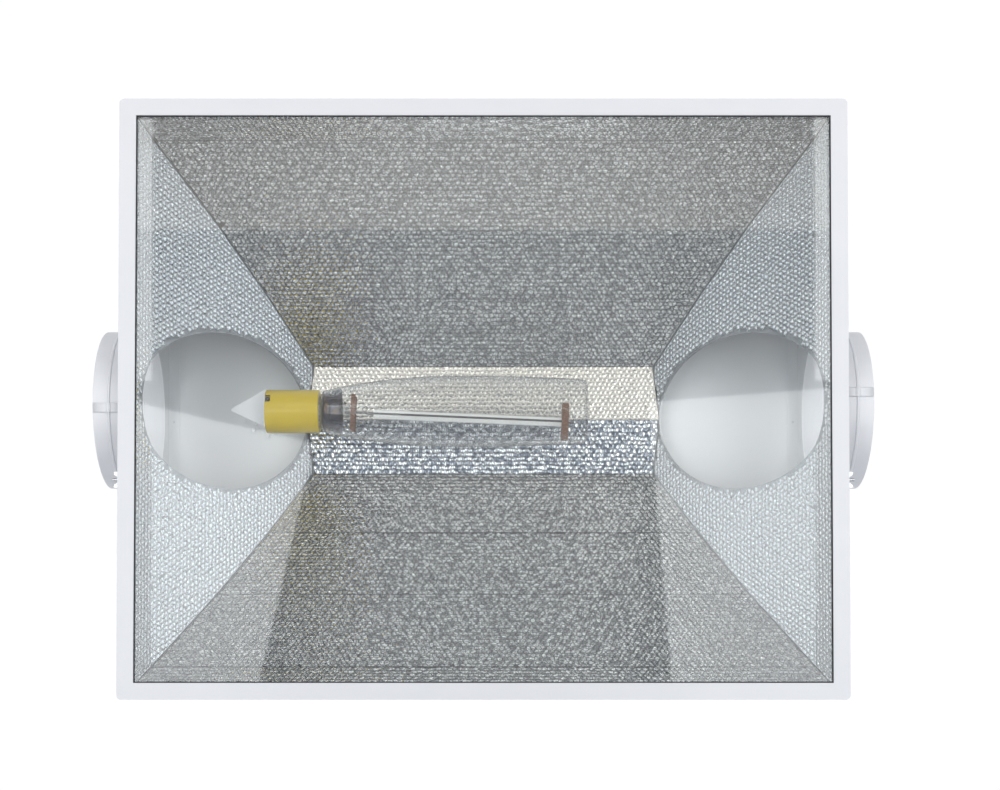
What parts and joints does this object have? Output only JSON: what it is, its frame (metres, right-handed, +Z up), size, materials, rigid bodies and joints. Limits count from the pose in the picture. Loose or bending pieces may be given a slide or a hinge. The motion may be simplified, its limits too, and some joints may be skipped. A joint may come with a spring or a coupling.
{
  "type": "grow lamp",
  "caption": "Air-cooled grow lamp hood with a hinged glass door, hammered reflector, duct collars at both ends and a screw-in tubular discharge lamp.",
  "frame": {"origin": "centre of the door frame's lower face, which is what the hood rests on when it is put down", "axes": "+Z up towards the roof, X along the lamp with the lampholder at -X, door hinged on the -Y side"},
  "size_m": [0.946, 0.719, 0.273],
  "materials": {
    "white_paint": "satin",
    "zinc_steel": "satin",
    "hammered_aluminium": "hammered, polished",
    "rivet_aluminium": "satin",
    "pane_glass": "polished",
    "gasket_rubber": "matte",
    "seal_foam": "matte",
    "gland_plastic": "moulded",
    "holder_ceramic": "glazed",
    "contact_brass": "bright",
    "bulb_glass": "polished",
    "stem_glass": "pressed",
    "base_nickel": "nickel plated",
    "base_insulator": "vitreous",
    "getter_film": "mirror film",
    "lamp_wire": "bright",
    "plate_bronze": "heat tinted",
    "arc_ceramic": "translucent"
  },
  "bodies": {
    "hood": {"hood_shell": "white_paint", "end_wall_left": "white_paint", "end_wall_right": "white_paint", "duct_collar_left": "white_paint", "duct_collar_right": "white_paint", "end_wall_rivets": "rivet_aluminium", "collar_rivets": "rivet_aluminium", "hanger_rivets": "rivet_aluminium", "hanger_front_left": "zinc_steel", "hanger_front_right": "zinc_steel", "hanger_rear_left": "zinc_steel", "hanger_rear_right": "zinc_steel", "cable_gland": "gland_plastic", "gland_nut": "gland_plastic", "reflector_side_front": "hammered_aluminium", "reflector_side_rear": "hammered_aluminium", "reflector_end_left": "hammered_aluminium", "reflector_end_right": "hammered_aluminium", "reflector_spine": "hammered_aluminium", "hinge_hood_leaf_left": "zinc_steel", "hinge_hood_leaf_right": "zinc_steel", "hinge_pin_left": "zinc_steel", "hinge_pin_right": "zinc_steel", "lock_studs": "zinc_steel", "lampholder_body": "holder_ceramic", "lampholder_shell": "contact_brass", "lampholder_contact": "contact_brass", "terminal_screw": "zinc_steel", "holder_bracket": "white_paint", "bracket_screws": "zinc_steel", "holder_screws": "zinc_steel"},
    "door": {"door_frame": "white_paint", "door_glass": "pane_glass", "glass_gasket": "gasket_rubber", "door_seal": "seal_foam", "glass_clips": "zinc_steel", "clip_rivets": "rivet_aluminium", "hinge_door_leaf_left": "zinc_steel", "hinge_door_leaf_right": "zinc_steel"},
    "lamp": {"lamp_bulb": "bulb_glass", "lamp_base_shell": "base_nickel", "lamp_base_insulator": "base_insulator", "lamp_base_tip": "base_nickel", "lamp_stem": "stem_glass", "lamp_getter_ring": "getter_film", "lamp_support_rod": "lamp_wire", "lamp_support_plates": "plate_bronze", "lamp_arc_tube": "arc_ceramic", "arc_tube_caps": "lamp_wire"},
    "wing_nut_left": {"wing_nut_left": "zinc_steel"},
    "wing_nut_right": {"wing_nut_right": "zinc_steel"}
  },
  "joints": [
    {"name": "door_hinge", "type": "hinge", "parent": "hood", "child": "door", "pos_m": [0, -0.35415, 0.022], "axis": [-1, 0, 0], "range_deg": [0, 105]},
    {"name": "lamp_withdraw", "type": "slide", "parent": "hood", "child": "lamp", "axis": [1, 0, 0], "range_m": [0, 0.05]},
    {"name": "nut_left_turn", "type": "hinge", "parent": "hood", "child": "wing_nut_left", "pos_m": [-0.4415, 0.096, 0.026], "axis": [-1, 0, 0], "range_deg": [0, 450]},
    {"name": "nut_right_turn", "type": "hinge", "parent": "hood", "child": "wing_nut_right", "pos_m": [0.4415, 0.096, 0.026], "axis": [1, 0, 0], "range_deg": [0, 450]}
  ]
}
